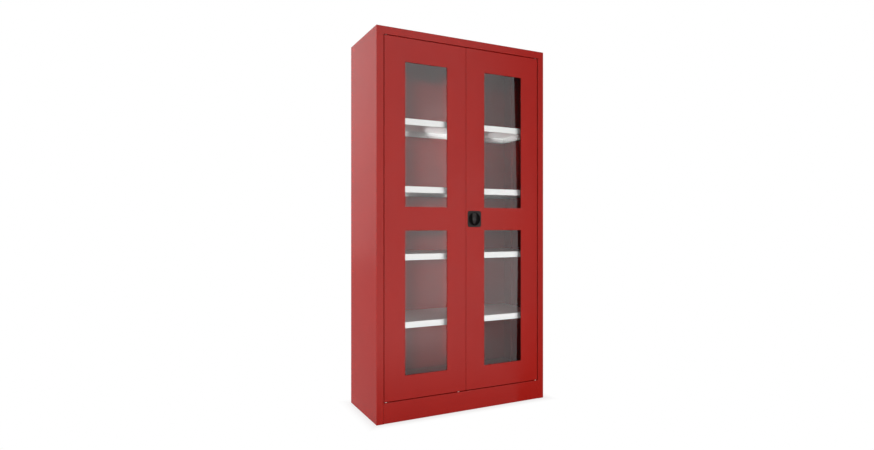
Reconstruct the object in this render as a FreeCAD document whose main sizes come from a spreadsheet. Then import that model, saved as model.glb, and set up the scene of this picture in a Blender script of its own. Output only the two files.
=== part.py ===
import FreeCAD, Part
import os
import re
import Sketcher

# Driving sizes in millimetres. The frame stands on z = 0, faces -Y and is centred on x = 0, y = 0.
SIZES = {
    "cabinet_width": 1000,
    "cabinet_depth": 400,
    "cabinet_height": 1950,
    "sheet_gauge": 1,
    "bend_radius": 2,
    "joint_gap": 0.3,
    "stile_width": 37.5,
    "jamb_depth": 30,
    "jamb_fold": 15,
    "back_flange": 20,
    "foot_flange": 22,
    "fascia_height": 39,
    "lintel_depth": 34,
    "lintel_lip": 18,
    "top_flange": 20,
    "plinth_height": 102.5,
    "sill_depth": 42,
    "sill_lip": 15,
    "floor_rise": 40.5,
    "floor_setback": 32,
    "floor_flange": 20,
    "fixing_spacing": 700,
    "fixing_drop": 100,
    "fixing_radius": 4.5,
    "upright_width": 30,
    "upright_depth": 12,
    "upright_gauge": 1.2,
    "upright_setback": 80,
    "upright_headroom": 22,
    "slot_pitch": 38.1,
    "slot_start": 25.8,
    "slot_width": 14,
    "slot_height": 4,
    "shelf_gauge": 1,
    "shelf_lip": 32,
    "shelf_return": 12,
    "shelf_setback": 32,
    "shelf_back_gap": 10,
    "shelf_end_gap": 1,
    "clip_gauge": 2,
    "clip_width": 13,
    "clip_drop": 20,
    "clip_ledge": 12,
    "clip_hook": 6,
    "clip_clearance": 0.2,
    "door_gap": 3,
    "seam_gap": 0.8,
    "door_inset": 2,
    "door_depth": 24,
    "door_gauge": 1,
    "door_lip": 18,
    "door_stile": 111.375,
    "window_height": 722,
    "mid_rail": 119.4,
    "glass_thickness": 4,
    "glass_overlap": 12,
    "gasket_wall": 1.5,
    "gasket_reveal": 1,
    "retainer_gauge": 1,
    "retainer_flange": 13,
    "retainer_reveal": 3,
    "stud_radius": 2,
    "stud_clearance": 0.2,
    "nut_radius": 4,
    "nut_height": 3.2,
    "stud_end": 1.5,
    "pivot_inset": 10,
    "pivot_setback": 7,
    "pin_radius": 3,
    "pin_reach": 20,
    "collar_radius": 5.5,
    "collar_height": 3,
    "bush_wall": 2,
    "bush_length": 12,
    "running_clearance": 0.05,
    "rub_clearance": 0.3,
    "washer_radius": 5,
    "hinge_plate_gauge": 3,
    "hinge_plate_length": 40,
    "button_offset": 43,
    "button_radius": 5.5,
    "button_stem": 2.5,
    "bumper_radius": 6,
    "bumper_offset": 25,
    "bumper_edge": 10,
    "stop_width": 100,
    "stop_drop": 24,
    "stop_gauge": 1.5,
    "stop_fold": 10,
    "handle_offset": 50.6,
    "plate_width": 82,
    "plate_height": 86,
    "plate_corner": 9,
    "plate_round": 1,
    "dish_radius": 34.5,
    "dish_depth": 10,
    "dish_wall": 2,
    "dish_floor": 2.5,
    "ring_radius": 43,
    "ring_height": 4,
    "lever_width": 25,
    "lever_rise": 30,
    "lever_waist": 6,
    "lever_drop": 27,
    "lever_tip": 6,
    "lever_corner": 5,
    "lever_round": 1.5,
    "lever_clearance": 0.5,
    "lock_radius": 9,
    "lock_length": 6.5,
    "lock_inset": 0.2,
    "plug_radius": 6,
    "plug_length": 5,
    "key_slot_width": 1.8,
    "key_slot_height": 8,
    "key_slot_depth": 3.5,
    "spindle_radius": 6,
    "spindle_square": 8,
    "screw_radius": 2,
    "screw_length": 7,
    "screw_head_radius": 4.5,
    "screw_head_height": 2.5,
    "cam_radius": 21,
    "cam_gauge": 3,
    "cam_gap": 0.5,
    "tongue_width": 14,
    "tongue_bite": 5.4,
    "latch_clearance": 1.5,
    "crank_radius": 16,
    "crank_pin_radius": 2.5,
    "crank_play": 0.75,
    "rod_radius": 4,
    "rod_offset": 14,
    "rod_foot_gauge": 5,
    "rod_foot_gap": 1,
    "rod_foot_wall": 2.5,
    "rod_foot_margin": 2,
    "rod_hole_clearance": 1,
    "keeper_gauge": 3,
    "keeper_length": 34,
    "keeper_margin": 7,
    "guide_width": 18,
    "guide_height": 14,
    "guide_near": 240,
    "guide_far": 90,
}
SHELF_COUNT = 4

# Planes and edges that several pieces share, all worked out from the driving sizes.
HALF = "(cabinet_width / 2)"
FRONT = "(-cabinet_depth / 2)"
BACK = "(cabinet_depth / 2)"
WALL = f"({HALF} - sheet_gauge)"
JAMB = f"({HALF} - stile_width)"
LINTEL = "(cabinet_height - fascia_height)"
LINTEL_BACK = f"({FRONT} + lintel_depth)"
FLOOR = "(plinth_height + floor_rise)"
FLOOR_FRONT = f"({FRONT} + floor_setback)"
PANEL_FRONT = f"({BACK} - 2 * sheet_gauge)"
UPRIGHT_FACE = f"({WALL} - upright_depth)"
UPRIGHT_HEIGHT = f"(cabinet_height - upright_headroom - {FLOOR})"
SLOT_COUNT = f"(floor(({UPRIGHT_HEIGHT} - 2 * slot_start) / slot_pitch) + 1)"
SHELF_STEP = f"floor({SLOT_COUNT} / {SHELF_COUNT + 1})"
SHELF_END = f"({UPRIGHT_FACE} - clip_gauge - shelf_end_gap)"
SKIN = f"({FRONT} + door_inset)"
SKIN_BACK = f"({SKIN} + door_gauge)"
DOOR_BACK = f"({SKIN} + door_depth)"
DOOR_OUTER = f"({JAMB} - door_gap)"
DOOR_INNER = "(seam_gap / 2)"
DOOR_LOW = "(plinth_height + door_gap)"
DOOR_HIGH = f"({LINTEL} - door_gap)"
MID_Z = f"(({DOOR_LOW} + {DOOR_HIGH}) / 2)"
PIVOT_X = f"({DOOR_OUTER} - pivot_inset)"
PIVOT_Y = f"({SKIN} + pivot_setback)"
BUSH_BORE = "(pin_radius + running_clearance)"
BUSH_RADIUS = f"({BUSH_BORE} + bush_wall)"
DISH_BACK = f"({FRONT} + dish_depth + dish_floor)"
LEVER_FRONT = f"({FRONT} + lever_clearance)"
LEVER_BACK = f"({FRONT} + dish_depth - lever_clearance)"
CAM_FRONT = f"({DISH_BACK} + cam_gap)"
CAM_BACK = f"({CAM_FRONT} + cam_gauge)"
FOOT_FRONT = f"({CAM_BACK} + rod_foot_gap)"
ROD_Y = f"({FOOT_FRONT} + rod_foot_gauge / 2)"
CRANK = "(crank_radius / sqrt(2))"
SLOT_HALF = "(crank_pin_radius + crank_play)"
TONGUE_REACH = "(handle_offset + tongue_bite)"
SIDES = (("left", -1), ("right", 1))

doc = FreeCAD.newDocument("glass_door_cabinet")
sizes = doc.addObject("Spreadsheet::Sheet", "Sizes")
for row, (alias, value) in enumerate(SIZES.items(), start=1):
    sizes.set(f"A{row}", alias)
    sizes.set(f"B{row}", str(value))
    sizes.setAlias(f"B{row}", alias)
doc.recompute()
nodes = {}


def link(text):
    """Point every size name of an expression at its cell."""
    return re.sub(r"[a-z_]+", lambda m: f"Sizes.{m[0]}" if m[0] in SIZES else m[0], text)


def number(text):
    """Present value of an expression."""
    return float(sizes.evalExpression(link(text)))


def span(sign, near, far):
    """Two x positions, near and far from the centre line, in rising order on one side."""
    return (near, far) if sign > 0 else (f"-({far})", f"-({near})")


def at(sign, text):
    """Mirror an x position to one side."""
    return text if sign > 0 else f"-({text})"


def rect(left, right, low, high):
    """Corners of a rectangle."""
    return [(left, low), (right, low), (right, high), (left, high)]


def keep(name, piece):
    """Record a finished sub-part under its own label."""
    piece.Label = name
    nodes[name] = piece
    return piece


def new_body(name):
    """Empty body with the name of its sub-part."""
    return doc.addObject("PartDesign::Body", name)


def fix(sketch, kind, where, text):
    """Constrain a sketch with a size that follows an expression."""
    index = sketch.addConstraint(Sketcher.Constraint(kind, *where, number(text)))
    sketch.setExpression(f"Constraints[{index}]", link(text))


def draw(sketch, loop):
    """Draw a circle given as (u, v, radius), or a closed outline given as a list of corners."""
    first = sketch.GeometryCount
    if isinstance(loop, tuple):
        u, v, radius = loop
        middle = FreeCAD.Vector(number(u), number(v), 0)
        sketch.addGeometry(Part.Circle(middle, FreeCAD.Vector(0, 0, 1), number(radius)))
        fix(sketch, "Radius", (first,), radius)
        fix(sketch, "DistanceX", (-1, 1, first, 3), u)
        fix(sketch, "DistanceY", (-1, 1, first, 3), v)
        return
    points = [FreeCAD.Vector(number(u), number(v), 0) for u, v in loop]
    count = len(points)
    for i in range(count):
        sketch.addGeometry(Part.LineSegment(points[i], points[(i + 1) % count]))
    for i in range(count):
        sketch.addConstraint(Sketcher.Constraint("Coincident", first + i, 2, first + (i + 1) % count, 1))
    for i, (u, v) in enumerate(loop):
        fix(sketch, "DistanceX", (-1, 1, first + i, 1), u)
        fix(sketch, "DistanceY", (-1, 1, first + i, 1), v)


def new_sketch(body, plane, start, loops):
    """Sketch on one of the body's origin planes, moved along its normal to a start position."""
    sketch = body.newObject("Sketcher::SketchObject", f"{body.Name}_sketch")
    support = next(f for f in body.Origin.OriginFeatures if f.Role == f"{plane}_Plane")
    sketch.AttachmentSupport = [(support, "")]
    sketch.MapMode = "FlatFace"
    offset = f"-({start})" if plane == "XZ" else start
    sketch.setExpression("AttachmentOffset.Base.z", link(offset))
    for loop in loops:
        draw(sketch, loop)
    return sketch


def extrude(body, kind, plane, start, loops, depth):
    """Pad or pocket the loops from the start position towards the positive axis."""
    sketch = new_sketch(body, plane, start, loops)
    feature = body.newObject(f"PartDesign::{kind}", f"{body.Name}_{kind.lower()}")
    feature.Profile = sketch
    feature.setExpression("Length", link(depth))
    feature.Reversed = (kind == "Pad") == (plane == "XZ")
    doc.recompute()
    return feature


def spin(body, outline):
    """Revolve an outline of (radius, height) corners about the body's own vertical axis."""
    sketch = new_sketch(body, "XZ", "0", [outline])
    feature = body.newObject("PartDesign::Revolution", f"{body.Name}_revolution")
    feature.Profile = sketch
    feature.ReferenceAxis = (sketch, ["V_Axis"])
    feature.Angle = 360
    doc.recompute()


def place(piece, x, y, z):
    """Bind the position of a sub-part."""
    for axis, text in zip("xyz", (x, y, z)):
        piece.setExpression(f"Placement.Base.{axis}", link(text))


def add_fillet(body, radius, names):
    """Round the named edges of the body's last feature."""
    base = body.Tip
    fillet = body.newObject("PartDesign::Fillet", f"{body.Name}_fillet")
    fillet.Base = (base, names)
    fillet.setExpression("Radius", link(radius))
    doc.recompute()


def round_along(body, radius, axis, spots):
    """Round the straight edges along one axis that pass through the given spots of the other two."""
    others = [a for a in "xyz" if a != axis]
    wanted = [[number(text) for text in spot] for spot in spots]
    names = []
    for index, edge in enumerate(body.Tip.Shape.Edges, start=1):
        if len(edge.Vertexes) != 2:
            continue
        run = edge.Vertexes[1].Point - edge.Vertexes[0].Point
        if abs(getattr(run, axis)) < 0.999 * edge.Length:
            continue
        here = [getattr(edge.CenterOfMass, a) for a in others]
        if any(abs(here[0] - w[0]) + abs(here[1] - w[1]) < 0.02 for w in wanted):
            names.append(f"Edge{index}")
    add_fillet(body, radius, names)


def round_rim(body, radius, axis, level):
    """Round every edge that lies flat at one level of an axis."""
    height = number(level)
    low, high = f"{axis.upper()}Min", f"{axis.upper()}Max"
    names = []
    for index, edge in enumerate(body.Tip.Shape.Edges, start=1):
        box = edge.BoundBox
        if abs(getattr(box, low) - height) < 0.01 and abs(getattr(box, high) - height) < 0.01:
            names.append(f"Edge{index}")
    add_fillet(body, radius, names)


def block(xs, ys, zs):
    """Box between pairs of positions."""
    box = doc.addObject("Part::Box", "block")
    for size, (low, high) in zip(("Length", "Width", "Height"), (xs, ys, zs)):
        box.setExpression(size, link(f"({high}) - ({low})"))
    place(box, xs[0], ys[0], zs[0])
    return box


def post(axis, x, y, z, radius, height):
    """Cylinder that starts at a position and runs along +Z or +Y."""
    piece = doc.addObject("Part::Cylinder", "post")
    if axis == "y":
        piece.Placement.Rotation = FreeCAD.Rotation(FreeCAD.Vector(1, 0, 0), -90)
    piece.setExpression("Radius", link(radius))
    piece.setExpression("Height", link(height))
    place(piece, x, y, z)
    return piece


def fuse(pieces):
    """One solid from several."""
    union = doc.addObject("Part::MultiFuse", "union")
    union.Shapes = pieces
    union.Refine = True
    return union


def cut(base, tools):
    """Base with the tools taken out."""
    result = doc.addObject("Part::Cut", "cut")
    result.Base = base
    result.Tool = fuse(tools) if len(tools) > 1 else tools[0]
    return result


def group(pieces):
    """Several separate solids in one sub-part."""
    bundle = doc.addObject("Part::Compound", "group")
    bundle.Links = pieces
    return bundle


# Side panels: one folded sheet each, with front stile, door jamb, rear flange and foot flange.
for side, sign in SIDES:
    panel = new_body(f"{side}_side_panel")
    jamb_end = f"{FRONT} + jamb_depth"
    corners = [
        (HALF, FRONT),
        (JAMB, FRONT),
        (JAMB, jamb_end),
        (f"{JAMB} + jamb_fold", jamb_end),
        (f"{JAMB} + jamb_fold", f"{jamb_end} - sheet_gauge"),
        (f"{JAMB} + sheet_gauge", f"{jamb_end} - sheet_gauge"),
        (f"{JAMB} + sheet_gauge", f"{FRONT} + sheet_gauge"),
        (WALL, f"{FRONT} + sheet_gauge"),
        (WALL, f"{BACK} - sheet_gauge"),
        (f"{HALF} - back_flange", f"{BACK} - sheet_gauge"),
        (f"{HALF} - back_flange", BACK),
        (HALF, BACK),
    ]
    outline = [(at(sign, x), y) for x, y in corners]
    extrude(panel, "Pad", "XY", "0", [outline], "cabinet_height")
    round_along(panel, "bend_radius", "z", [outline[i] for i in (0, 1, 2, 11)])
    round_along(panel, "bend_radius - sheet_gauge", "z", [outline[i] for i in (5, 6, 7, 8)])
    notch = rect(*span(sign, f"{JAMB} - 1", WALL), f"{FRONT} - 1", f"{jamb_end} + 1")
    extrude(panel, "Pocket", "XY", LINTEL, [notch], "fascia_height + 1")
    foot = rect(*span(sign, f"{HALF} - foot_flange", WALL), f"{jamb_end} + joint_gap", PANEL_FRONT)
    extrude(panel, "Pad", "XY", "0", [foot], "sheet_gauge")
    keep(f"{side}_side_panel", panel)

# Top panel: top sheet, fascia and door lintel in one fold, with flanges against the walls and back.
top = new_body("top_panel")
lip_front = f"{LINTEL_BACK} - sheet_gauge"
profile = [
    (FRONT, LINTEL),
    (FRONT, "cabinet_height"),
    (f"{BACK} - sheet_gauge", "cabinet_height"),
    (f"{BACK} - sheet_gauge", "cabinet_height - sheet_gauge"),
    (f"{FRONT} + sheet_gauge", "cabinet_height - sheet_gauge"),
    (f"{FRONT} + sheet_gauge", f"{LINTEL} + sheet_gauge"),
    (lip_front, f"{LINTEL} + sheet_gauge"),
    (lip_front, f"{LINTEL} + lintel_lip"),
    (LINTEL_BACK, f"{LINTEL} + lintel_lip"),
    (LINTEL_BACK, LINTEL),
]
extrude(top, "Pad", "YZ", f"-{WALL}", [profile], f"2 * {WALL}")
round_along(top, "bend_radius", "x", [profile[i] for i in (0, 1, 9)])
round_along(top, "bend_radius - sheet_gauge", "x", [profile[i] for i in (4, 5, 6)])
round_along(top, "bend_radius", "z", [(at(sign, WALL), f"{BACK} - sheet_gauge") for _, sign in SIDES])
flanges = [
    rect(*span(sign, f"{WALL} - sheet_gauge", WALL), f"{LINTEL_BACK} + 2", f"{PANEL_FRONT} - top_flange")
    for _, sign in SIDES
]
flanges.append(rect(f"-({WALL} - top_flange)", f"{WALL} - top_flange", f"{PANEL_FRONT} - sheet_gauge", PANEL_FRONT))
extrude(top, "Pad", "XY", "cabinet_height - top_flange", flanges, "top_flange - sheet_gauge")
lintel_holes = [(at(sign, PIVOT_X), PIVOT_Y, BUSH_BORE) for _, sign in SIDES]
lintel_holes.append(("handle_offset + rod_offset", ROD_Y, "rod_radius + rod_hole_clearance"))
extrude(top, "Pocket", "XY", LINTEL, lintel_holes, "sheet_gauge")
keep("top_panel", top)

# Plinth panel: kick plate between the stiles, folded back into the sill under the doors.
plinth = new_body("plinth_panel")
sill_back = f"({FRONT} + sill_depth)"
profile = [
    (FRONT, "0"),
    (FRONT, "plinth_height"),
    (sill_back, "plinth_height"),
    (sill_back, "plinth_height - sill_lip"),
    (f"{sill_back} - sheet_gauge", "plinth_height - sill_lip"),
    (f"{sill_back} - sheet_gauge", "plinth_height - sheet_gauge"),
    (f"{FRONT} + sheet_gauge", "plinth_height - sheet_gauge"),
    (f"{FRONT} + sheet_gauge", "sheet_gauge"),
    (f"{FRONT} + foot_flange", "sheet_gauge"),
    (f"{FRONT} + foot_flange", "0"),
]
extrude(plinth, "Pad", "YZ", f"-({JAMB} - joint_gap)", [profile], f"2 * ({JAMB} - joint_gap)")
round_along(plinth, "bend_radius", "x", [profile[i] for i in (0, 1, 2)])
round_along(plinth, "bend_radius - sheet_gauge", "x", [profile[i] for i in (5, 6, 7)])
sill_holes = [(at(sign, PIVOT_X), PIVOT_Y, BUSH_BORE) for _, sign in SIDES]
sill_holes.append(("handle_offset - rod_offset", ROD_Y, "rod_radius + rod_hole_clearance"))
sill_holes.append(("-button_offset", PIVOT_Y, "button_stem + running_clearance"))
extrude(plinth, "Pocket", "XY", "plinth_height - sheet_gauge", sill_holes, "sheet_gauge")
keep("plinth_panel", plinth)

# Floor panel: raised tray whose front lip stands on the sill behind the doors.
floor = new_body("floor_panel")
profile = [
    (FLOOR_FRONT, "plinth_height"),
    (FLOOR_FRONT, FLOOR),
    (PANEL_FRONT, FLOOR),
    (PANEL_FRONT, f"{FLOOR} - floor_flange"),
    (f"{PANEL_FRONT} - sheet_gauge", f"{FLOOR} - floor_flange"),
    (f"{PANEL_FRONT} - sheet_gauge", f"{FLOOR} - sheet_gauge"),
    (f"{FLOOR_FRONT} + sheet_gauge", f"{FLOOR} - sheet_gauge"),
    (f"{FLOOR_FRONT} + sheet_gauge", "plinth_height"),
]
extrude(floor, "Pad", "YZ", f"-{WALL}", [profile], f"2 * {WALL}")
round_along(floor, "bend_radius", "x", [profile[i] for i in (1, 2)])
round_along(floor, "bend_radius - sheet_gauge", "x", [profile[i] for i in (5, 6)])
flanges = [
    rect(*span(sign, f"{WALL} - sheet_gauge", WALL), f"{FLOOR_FRONT} + floor_flange", f"{PANEL_FRONT} - floor_flange")
    for _, sign in SIDES
]
extrude(floor, "Pad", "XY", f"{FLOOR} - floor_flange", flanges, "floor_flange - sheet_gauge")
keep("floor_panel", floor)

# Back panel: flat sheet inside the rear flanges, with two wall-fixing holes near its top.
back = new_body("back_panel")
panel_edge = f"({WALL} - bend_radius)"
loops = [rect(f"-{panel_edge}", panel_edge, "0", "cabinet_height - sheet_gauge")]
for _, sign in SIDES:
    loops.append((at(sign, "fixing_spacing / 2"), "cabinet_height - fixing_drop", "fixing_radius"))
extrude(back, "Pad", "XZ", PANEL_FRONT, loops, "sheet_gauge")
keep("back_panel", back)

# Perforated uprights: channels on the side walls with a row of slots for the shelf clips.
UPRIGHT_MID = {"front": f"({FRONT} + upright_setback)", "rear": f"({BACK} - upright_setback)"}
for side, sign in SIDES:
    for row_name, mid in UPRIGHT_MID.items():
        upright = new_body(f"{side}_{row_name}_upright")
        low, high = f"{mid} - upright_width / 2", f"{mid} + upright_width / 2"
        web = f"{UPRIGHT_FACE} + upright_gauge"
        corners = [
            (WALL, low),
            (UPRIGHT_FACE, low),
            (UPRIGHT_FACE, high),
            (WALL, high),
            (WALL, f"{high} - upright_gauge"),
            (web, f"{high} - upright_gauge"),
            (web, f"{low} + upright_gauge"),
            (WALL, f"{low} + upright_gauge"),
        ]
        outline = [(at(sign, x), y) for x, y in corners]
        extrude(upright, "Pad", "XY", FLOOR, [outline], UPRIGHT_HEIGHT)
        round_along(upright, "bend_radius", "z", [outline[i] for i in (1, 2)])
        slot_low = f"{FLOOR} + slot_start"
        slot = rect(f"{mid} - slot_width / 2", f"{mid} + slot_width / 2", slot_low, f"{slot_low} + slot_height")
        start = span(sign, UPRIGHT_FACE, web)[0]
        first_slot = extrude(upright, "Pocket", "YZ", start, [slot], "upright_gauge")
        slots = upright.newObject("PartDesign::LinearPattern", f"{upright.Name}_slots")
        slots.Originals = [first_slot]
        z_axis = next(f for f in upright.Origin.OriginFeatures if f.Role == "Z_Axis")
        slots.Direction = (z_axis, [""])
        slots.setExpression("Length", link(f"({SLOT_COUNT} - 1) * slot_pitch"))
        slots.setExpression("Occurrences", link(SLOT_COUNT))
        upright.Tip = slots
        doc.recompute()
        keep(upright.Name, upright)

# Shelves: trays with turned-down lips and returns, each hung on four clips.
for level in range(SHELF_COUNT):
    name = f"shelf_{level + 1}"
    slot_z = f"({FLOOR} + slot_start + ({level + 1} * {SHELF_STEP} - 1) * slot_pitch)"
    shelf_top = f"({slot_z} - clip_drop + shelf_lip)"
    front_edge, back_edge = f"({FRONT} + shelf_setback)", f"({PANEL_FRONT} - shelf_back_gap)"

    def tray(inset):
        """Outline of the shelf moved inwards."""
        reach = f"{SHELF_END} - ({inset})"
        return rect(f"-({reach})", reach, f"{front_edge} + {inset}", f"{back_edge} - ({inset})")

    shelf = new_body(name)
    extrude(shelf, "Pad", "XY", "-shelf_lip", [tray("0")], "shelf_lip")
    extrude(shelf, "Pocket", "XY", "-shelf_lip", [tray("shelf_gauge")], "shelf_lip - shelf_gauge")
    inner = tray("(shelf_gauge + shelf_return)")
    extrude(shelf, "Pad", "XY", "-shelf_lip", [tray("shelf_gauge"), inner], "shelf_gauge")
    round_along(shelf, "bend_radius", "x", [(front_edge, "0"), (back_edge, "0"), (front_edge, "-shelf_lip")])
    place(shelf, "0", "0", shelf_top)
    keep(name, shelf)

    clips = []
    for side, sign in SIDES:
        for row_name, mid in UPRIGHT_MID.items():
            clip = new_body(f"{name}_{side}_{row_name}_clip")
            hook_front = f"{UPRIGHT_FACE} + upright_gauge + clip_clearance"
            corners = [
                (f"{hook_front} + clip_gauge", f"{slot_z} - clip_hook"),
                (hook_front, f"{slot_z} - clip_hook"),
                (hook_front, slot_z),
                (UPRIGHT_FACE, slot_z),
                (UPRIGHT_FACE, f"{slot_z} - clip_drop - clip_gauge"),
                (f"{UPRIGHT_FACE} - clip_gauge - clip_ledge", f"{slot_z} - clip_drop - clip_gauge"),
                (f"{UPRIGHT_FACE} - clip_gauge - clip_ledge", f"{slot_z} - clip_drop"),
                (f"{UPRIGHT_FACE} - clip_gauge", f"{slot_z} - clip_drop"),
                (f"{UPRIGHT_FACE} - clip_gauge", f"{slot_z} + clip_gauge"),
                (f"{hook_front} + clip_gauge", f"{slot_z} + clip_gauge"),
            ]
            outline = [(at(sign, x), z) for x, z in corners]
            extrude(clip, "Pad", "XZ", f"{mid} - clip_width / 2", [outline], "clip_width")
            clips.append(clip)
    keep(f"{name}_clips", group(clips))

# Door stop: folded bracket behind the lintel, and rubber bumpers on it and on the floor's front lip.
stop = new_body("door_stop_bracket")
stop_low = f"({DOOR_HIGH} - stop_drop)"
profile = [
    (LINTEL_BACK, stop_low),
    (LINTEL_BACK, f"{LINTEL} + lintel_lip"),
    (f"{LINTEL_BACK} + stop_gauge", f"{LINTEL} + lintel_lip"),
    (f"{LINTEL_BACK} + stop_gauge", f"{stop_low} + stop_gauge"),
    (f"{LINTEL_BACK} + stop_fold", f"{stop_low} + stop_gauge"),
    (f"{LINTEL_BACK} + stop_fold", stop_low),
]
extrude(stop, "Pad", "YZ", "-stop_width / 2", [profile], "stop_width")
round_along(stop, "bend_radius", "x", [profile[0]])
keep("door_stop_bracket", stop)
bumper_front = f"({DOOR_BACK} + rub_clearance)"
bumpers = []
for _, sign in SIDES:
    for seat, height in ((LINTEL_BACK, f"{DOOR_HIGH} - bumper_edge"), (FLOOR_FRONT, f"{DOOR_LOW} + bumper_edge")):
        x = at(sign, "bumper_offset")
        bumpers.append(post("y", x, bumper_front, height, "bumper_radius", f"{seat} - {bumper_front}"))
keep("door_bumpers", group(bumpers))

# Hinge pins: collared pivots fixed in the sill and in the lintel, with nylon washers in the door gap.
for name, seat, up in (("lower_hinge_pins", "plinth_height", 1), ("upper_hinge_pins", LINTEL, -1)):
    pins = []
    for side, sign in SIDES:
        pin = new_body(f"{side}_{name}")
        base = "(-sheet_gauge - collar_height)"
        corners = [
            ("0", base),
            ("collar_radius", base),
            ("collar_radius", "-sheet_gauge"),
            ("pin_radius", "-sheet_gauge"),
            ("pin_radius", "pin_reach"),
            ("0", "pin_reach"),
        ]
        spin(pin, [(radius, at(up, z)) for radius, z in corners])
        place(pin, at(sign, PIVOT_X), PIVOT_Y, seat)
        pins.append(pin)
    keep(name, group(pins))
washers = []
washer_height = "(door_gap - rub_clearance)"
for _, sign in SIDES:
    for low in ("plinth_height", f"{LINTEL} - {washer_height}"):
        place_xy = (at(sign, PIVOT_X), PIVOT_Y)
        washer = post("z", *place_xy, low, "washer_radius", washer_height)
        bore = post("z", *place_xy, low, BUSH_BORE, washer_height)
        washers.append(cut(washer, [bore]))
keep("hinge_washers", group(washers))

# Glide button: domed nylon stud in the sill that carries the free end of the left door.
button = new_body("glide_button")
head = "(door_gap - rub_clearance)"
spin(button, [
    ("0", "-3 * sheet_gauge"),
    ("button_stem", "-3 * sheet_gauge"),
    ("button_stem", "0"),
    ("button_radius", "0"),
    ("button_radius", f"{head} / 2"),
    ("button_radius / 2", head),
    ("0", head),
])
place(button, "-button_offset", PIVOT_Y, "plinth_height")
keep("glide_button", button)

# Rod keepers: thick plates that back the rod holes of the lintel and of the sill.
KEEPERS = (
    ("upper_keeper", "handle_offset + rod_offset", f"{LINTEL} + sheet_gauge"),
    ("lower_keeper", "handle_offset - rod_offset", "plinth_height - sheet_gauge - keeper_gauge"),
)
for name, x, low in KEEPERS:
    reach = "rod_radius + keeper_margin"
    xs = (f"{x} - keeper_length / 2", f"{x} + keeper_length / 2")
    ys = (f"{ROD_Y} - ({reach})", f"{ROD_Y} + ({reach})")
    plate = block(xs, ys, (low, f"{low} + keeper_gauge"))
    hole = post("z", x, ROD_Y, low, "rod_radius + rod_hole_clearance", "keeper_gauge")
    keep(name, cut(plate, [hole]))

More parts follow.
